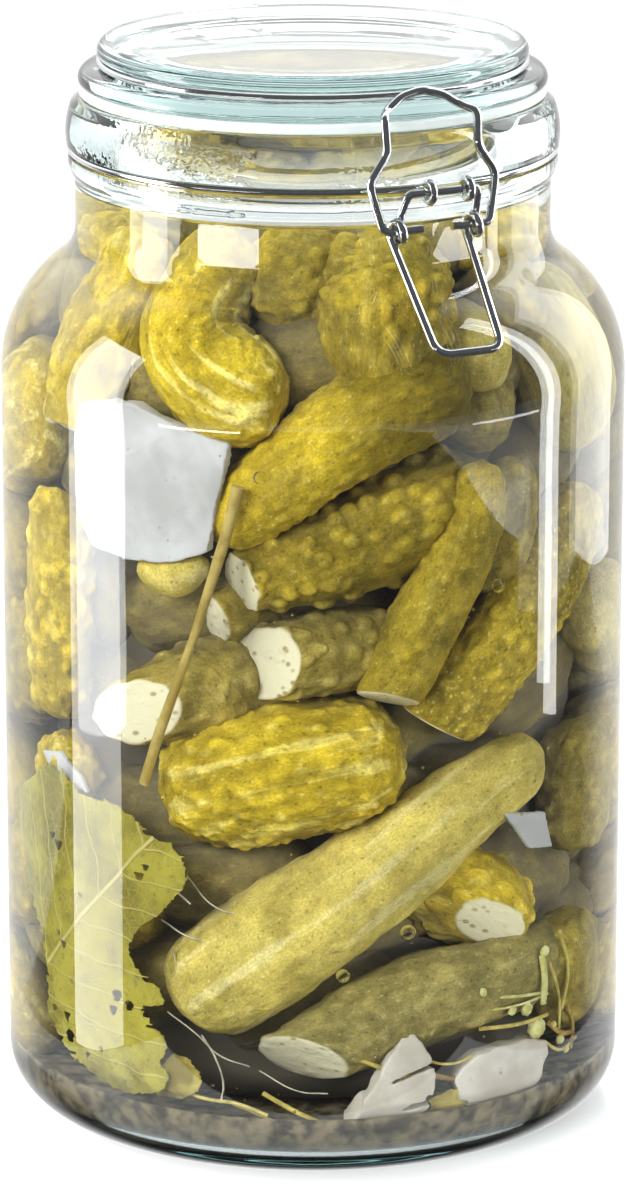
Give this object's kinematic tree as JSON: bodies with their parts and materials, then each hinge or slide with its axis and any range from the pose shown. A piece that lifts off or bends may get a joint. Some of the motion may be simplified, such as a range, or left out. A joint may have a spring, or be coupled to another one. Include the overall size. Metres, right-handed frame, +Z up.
{
  "type": "swing-top preserving jar with pickled gherkins",
  "caption": "Clear glass swing-top preserving jar with a hinged, wire-clamped lid, packed with pickled gherkins, a leaf, dill and onion.",
  "frame": {"origin": "on the jar's axis, at the level of its base", "axes": "+Z up along the jar's axis, -Y towards the clasp, +Y towards the lid's hinge, +X across"},
  "size_m": [0.175, 0.1825, 0.305],
  "materials": {
    "clear_glass": "clear pressed glass with a faint green tint",
    "clear_silicone": "translucent pale grey seal, satin",
    "bright_wire": "bright plated wire",
    "gherkin_skin": "wet olive-green skin with pale specks and warts",
    "leaf_green": "wet pale green-brown leaf with veins",
    "stalk_brown": "wet brown-green stalk",
    "onion_white": "wet translucent white onion"
  },
  "bodies": {
    "jar": {"jar": "clear_glass", "neck_wire": "bright_wire", "pickles": "gherkin_skin", "leaf": "leaf_green", "dill_stem": "stalk_brown", "onion_wedge_1": "onion_white", "onion_wedge_2": "onion_white", "onion_slice": "onion_white"},
    "lid": {"lid": "clear_glass", "gasket": "clear_silicone", "lid_wire": "bright_wire"},
    "lever": {"lever": "bright_wire"},
    "bail": {"bail": "bright_wire"}
  },
  "joints": [
    {"name": "lid_hinge", "type": "hinge", "parent": "jar", "child": "lid", "pos_m": [0, 0.0738, 0.2825], "axis": [-1, 0, 0], "range_deg": [0, 110]},
    {"name": "lever_swing", "type": "hinge", "parent": "jar", "child": "lever", "pos_m": [0, -0.0726, 0.275], "axis": [-1, 0, 0], "range_deg": [0, 100]},
    {"name": "bail_swing", "type": "hinge", "parent": "lever", "child": "bail", "pos_m": [0, -0.0732, 0.2653], "axis": [1, 0, 0], "range_deg": [0, 136]}
  ],
  "couplings": [
    {"joint": "bail_swing", "follows": "lever_swing", "ratio": 1.35}
  ]
}
